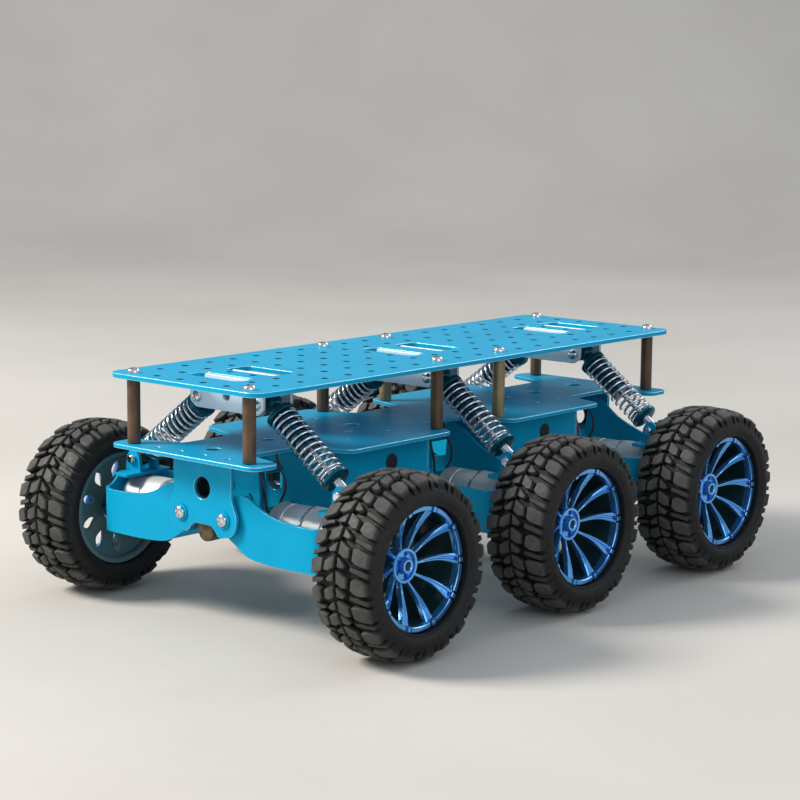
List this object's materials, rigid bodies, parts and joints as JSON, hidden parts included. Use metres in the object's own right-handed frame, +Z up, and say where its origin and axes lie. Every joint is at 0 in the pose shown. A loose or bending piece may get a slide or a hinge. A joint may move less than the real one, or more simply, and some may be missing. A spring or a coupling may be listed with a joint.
{
  "type": "six wheel robot chassis",
  "caption": "Off-road robot chassis: perforated top plate on posts over a folded deck, sprung swing arms with gearmotors, coil-over shocks and chunky tyres.",
  "frame": {"origin": "on the ground, under the middle of the chassis", "axes": "+X to the chassis's right, -Y to its front, +Z up"},
  "size_m": [0.3, 0.42, 0.1551],
  "materials": {
    "anodised_blue": "satin anodised",
    "motor_silver": "brushed, bright",
    "bright_steel": "polished",
    "spring_steel": "polished",
    "post_bronze": "dark bronze, turned",
    "coupling_brass": "tarnished",
    "shock_blue": "blue tinted, glossy",
    "rim_blue": "metallic blue",
    "tyre_rubber": "matt black"
  },
  "bodies": {
    "chassis": {"lower_deck": "anodised_blue", "top_plate": "anodised_blue", "post_front_right": "post_bronze", "post_front_left": "post_bronze", "post_mid_front_right": "post_bronze", "post_mid_front_left": "post_bronze", "post_mid_rear_right": "post_bronze", "post_mid_rear_left": "post_bronze", "post_rear_right": "post_bronze", "post_rear_left": "post_bronze", "pivot_rod_right": "bright_steel", "pivot_rod_left": "bright_steel"},
    "arm_front_right": {"swing_arm_front_right": "anodised_blue", "gearmotor_front_right": "motor_silver"},
    "wheel_front_right": {"wheel_hub_front_right": "coupling_brass", "rim_front_right": "rim_blue", "tyre_front_right": "tyre_rubber"},
    "shock_upper_front_right": {"shock_cylinder_front_right": "shock_blue", "spring_front_right": "spring_steel"},
    "shock_lower_front_right": {"shock_rod_front_right": "bright_steel"},
    "arm_front_left": {"swing_arm_front_left": "anodised_blue", "gearmotor_front_left": "motor_silver"},
    "wheel_front_left": {"wheel_hub_front_left": "coupling_brass", "rim_front_left": "rim_blue", "tyre_front_left": "tyre_rubber"},
    "shock_upper_front_left": {"shock_cylinder_front_left": "shock_blue", "spring_front_left": "spring_steel"},
    "shock_lower_front_left": {"shock_rod_front_left": "bright_steel"},
    "arm_mid_right": {"swing_arm_mid_right": "anodised_blue", "gearmotor_mid_right": "motor_silver"},
    "wheel_mid_right": {"wheel_hub_mid_right": "coupling_brass", "rim_mid_right": "rim_blue", "tyre_mid_right": "tyre_rubber"},
    "shock_upper_mid_right": {"shock_cylinder_mid_right": "shock_blue", "spring_mid_right": "spring_steel"},
    "shock_lower_mid_right": {"shock_rod_mid_right": "bright_steel"},
    "arm_mid_left": {"swing_arm_mid_left": "anodised_blue", "gearmotor_mid_left": "motor_silver"},
    "wheel_mid_left": {"wheel_hub_mid_left": "coupling_brass", "rim_mid_left": "rim_blue", "tyre_mid_left": "tyre_rubber"},
    "shock_upper_mid_left": {"shock_cylinder_mid_left": "shock_blue", "spring_mid_left": "spring_steel"},
    "shock_lower_mid_left": {"shock_rod_mid_left": "bright_steel"},
    "arm_rear_right": {"swing_arm_rear_right": "anodised_blue", "gearmotor_rear_right": "motor_silver"},
    "wheel_rear_right": {"wheel_hub_rear_right": "coupling_brass", "rim_rear_right": "rim_blue", "tyre_rear_right": "tyre_rubber"},
    "shock_upper_rear_right": {"shock_cylinder_rear_right": "shock_blue", "spring_rear_right": "spring_steel"},
    "shock_lower_rear_right": {"shock_rod_rear_right": "bright_steel"},
    "arm_rear_left": {"swing_arm_rear_left": "anodised_blue", "gearmotor_rear_left": "motor_silver"},
    "wheel_rear_left": {"wheel_hub_rear_left": "coupling_brass", "rim_rear_left": "rim_blue", "tyre_rear_left": "tyre_rubber"},
    "shock_upper_rear_left": {"shock_cylinder_rear_left": "shock_blue", "spring_rear_left": "spring_steel"},
    "shock_lower_rear_left": {"shock_rod_rear_left": "bright_steel"}
  },
  "joints": [
    {"name": "arm_swing_front_right", "type": "hinge", "parent": "chassis", "child": "arm_front_right", "pos_m": [0.018, -0.155, 0.07], "axis": [0, -1, 0], "range_deg": [0, 18], "stiffness_Nm_per_rad": 3.2, "springref_deg": -14.32},
    {"name": "wheel_spin_front_right", "type": "hinge", "parent": "arm_front_right", "child": "wheel_front_right", "pos_m": [0.127, -0.155, 0.055], "axis": [1, 0, 0], "continuous": true},
    {"name": "shock_tilt_front_right", "type": "hinge", "parent": "chassis", "child": "shock_upper_front_right", "pos_m": [0.025, -0.155, 0.137], "axis": [0, -1, 0], "range_deg": [0, 10.6]},
    {"name": "shock_slide_front_right", "type": "slide", "parent": "shock_upper_front_right", "child": "shock_lower_front_right", "axis": [-0.8015, 0, 0.598], "range_m": [0, 0.019], "deforming": ["spring_front_right"]},
    {"name": "arm_swing_front_left", "type": "hinge", "parent": "chassis", "child": "arm_front_left", "pos_m": [-0.018, -0.155, 0.07], "axis": [0, 1, 0], "range_deg": [0, 18], "stiffness_Nm_per_rad": 3.2, "springref_deg": -14.32},
    {"name": "wheel_spin_front_left", "type": "hinge", "parent": "arm_front_left", "child": "wheel_front_left", "pos_m": [-0.127, -0.155, 0.055], "axis": [1, 0, 0], "continuous": true},
    {"name": "shock_tilt_front_left", "type": "hinge", "parent": "chassis", "child": "shock_upper_front_left", "pos_m": [-0.025, -0.155, 0.137], "axis": [0, 1, 0], "range_deg": [0, 10.6]},
    {"name": "shock_slide_front_left", "type": "slide", "parent": "shock_upper_front_left", "child": "shock_lower_front_left", "axis": [0.8015, 0, 0.598], "range_m": [0, 0.019], "deforming": ["spring_front_left"]},
    {"name": "arm_swing_mid_right", "type": "hinge", "parent": "chassis", "child": "arm_mid_right", "pos_m": [0.018, 0, 0.07], "axis": [0, -1, 0], "range_deg": [0, 18], "stiffness_Nm_per_rad": 3.2, "springref_deg": -14.32},
    {"name": "wheel_spin_mid_right", "type": "hinge", "parent": "arm_mid_right", "child": "wheel_mid_right", "pos_m": [0.127, 0, 0.055], "axis": [1, 0, 0], "continuous": true},
    {"name": "shock_tilt_mid_right", "type": "hinge", "parent": "chassis", "child": "shock_upper_mid_right", "pos_m": [0.025, 0, 0.137], "axis": [0, -1, 0], "range_deg": [0, 10.6]},
    {"name": "shock_slide_mid_right", "type": "slide", "parent": "shock_upper_mid_right", "child": "shock_lower_mid_right", "axis": [-0.8015, 0, 0.598], "range_m": [0, 0.019], "deforming": ["spring_mid_right"]},
    {"name": "arm_swing_mid_left", "type": "hinge", "parent": "chassis", "child": "arm_mid_left", "pos_m": [-0.018, 0, 0.07], "axis": [0, 1, 0], "range_deg": [0, 18], "stiffness_Nm_per_rad": 3.2, "springref_deg": -14.32},
    {"name": "wheel_spin_mid_left", "type": "hinge", "parent": "arm_mid_left", "child": "wheel_mid_left", "pos_m": [-0.127, 0, 0.055], "axis": [1, 0, 0], "continuous": true},
    {"name": "shock_tilt_mid_left", "type": "hinge", "parent": "chassis", "child": "shock_upper_mid_left", "pos_m": [-0.025, 0, 0.137], "axis": [0, 1, 0], "range_deg": [0, 10.6]},
    {"name": "shock_slide_mid_left", "type": "slide", "parent": "shock_upper_mid_left", "child": "shock_lower_mid_left", "axis": [0.8015, 0, 0.598], "range_m": [0, 0.019], "deforming": ["spring_mid_left"]},
    {"name": "arm_swing_rear_right", "type": "hinge", "parent": "chassis", "child": "arm_rear_right", "pos_m": [0.018, 0.155, 0.07], "axis": [0, -1, 0], "range_deg": [0, 18], "stiffness_Nm_per_rad": 3.2, "springref_deg": -14.32},
    {"name": "wheel_spin_rear_right", "type": "hinge", "parent": "arm_rear_right", "child": "wheel_rear_right", "pos_m": [0.127, 0.155, 0.055], "axis": [1, 0, 0], "continuous": true},
    {"name": "shock_tilt_rear_right", "type": "hinge", "parent": "chassis", "child": "shock_upper_rear_right", "pos_m": [0.025, 0.155, 0.137], "axis": [0, -1, 0], "range_deg": [0, 10.6]},
    {"name": "shock_slide_rear_right", "type": "slide", "parent": "shock_upper_rear_right", "child": "shock_lower_rear_right", "axis": [-0.8015, 0, 0.598], "range_m": [0, 0.019], "deforming": ["spring_rear_right"]},
    {"name": "arm_swing_rear_left", "type": "hinge", "parent": "chassis", "child": "arm_rear_left", "pos_m": [-0.018, 0.155, 0.07], "axis": [0, 1, 0], "range_deg": [0, 18], "stiffness_Nm_per_rad": 3.2, "springref_deg": -14.32},
    {"name": "wheel_spin_rear_left", "type": "hinge", "parent": "arm_rear_left", "child": "wheel_rear_left", "pos_m": [-0.127, 0.155, 0.055], "axis": [1, 0, 0], "continuous": true},
    {"name": "shock_tilt_rear_left", "type": "hinge", "parent": "chassis", "child": "shock_upper_rear_left", "pos_m": [-0.025, 0.155, 0.137], "axis": [0, 1, 0], "range_deg": [0, 10.6]},
    {"name": "shock_slide_rear_left", "type": "slide", "parent": "shock_upper_rear_left", "child": "shock_lower_rear_left", "axis": [0.8015, 0, 0.598], "range_m": [0, 0.019], "deforming": ["spring_rear_left"]}
  ],
  "couplings": [
    {"joint": "shock_tilt_front_right", "follows": "arm_swing_front_right", "ratio": 0.5765},
    {"joint": "shock_slide_front_right", "follows": "arm_swing_front_right", "m_per_rad": 0.0602},
    {"joint": "shock_tilt_front_left", "follows": "arm_swing_front_left", "ratio": 0.5765},
    {"joint": "shock_slide_front_left", "follows": "arm_swing_front_left", "m_per_rad": 0.0602},
    {"joint": "shock_tilt_mid_right", "follows": "arm_swing_mid_right", "ratio": 0.5765},
    {"joint": "shock_slide_mid_right", "follows": "arm_swing_mid_right", "m_per_rad": 0.0602},
    {"joint": "shock_tilt_mid_left", "follows": "arm_swing_mid_left", "ratio": 0.5765},
    {"joint": "shock_slide_mid_left", "follows": "arm_swing_mid_left", "m_per_rad": 0.0602},
    {"joint": "shock_tilt_rear_right", "follows": "arm_swing_rear_right", "ratio": 0.5765},
    {"joint": "shock_slide_rear_right", "follows": "arm_swing_rear_right", "m_per_rad": 0.0602},
    {"joint": "shock_tilt_rear_left", "follows": "arm_swing_rear_left", "ratio": 0.5765},
    {"joint": "shock_slide_rear_left", "follows": "arm_swing_rear_left", "m_per_rad": 0.0602}
  ]
}
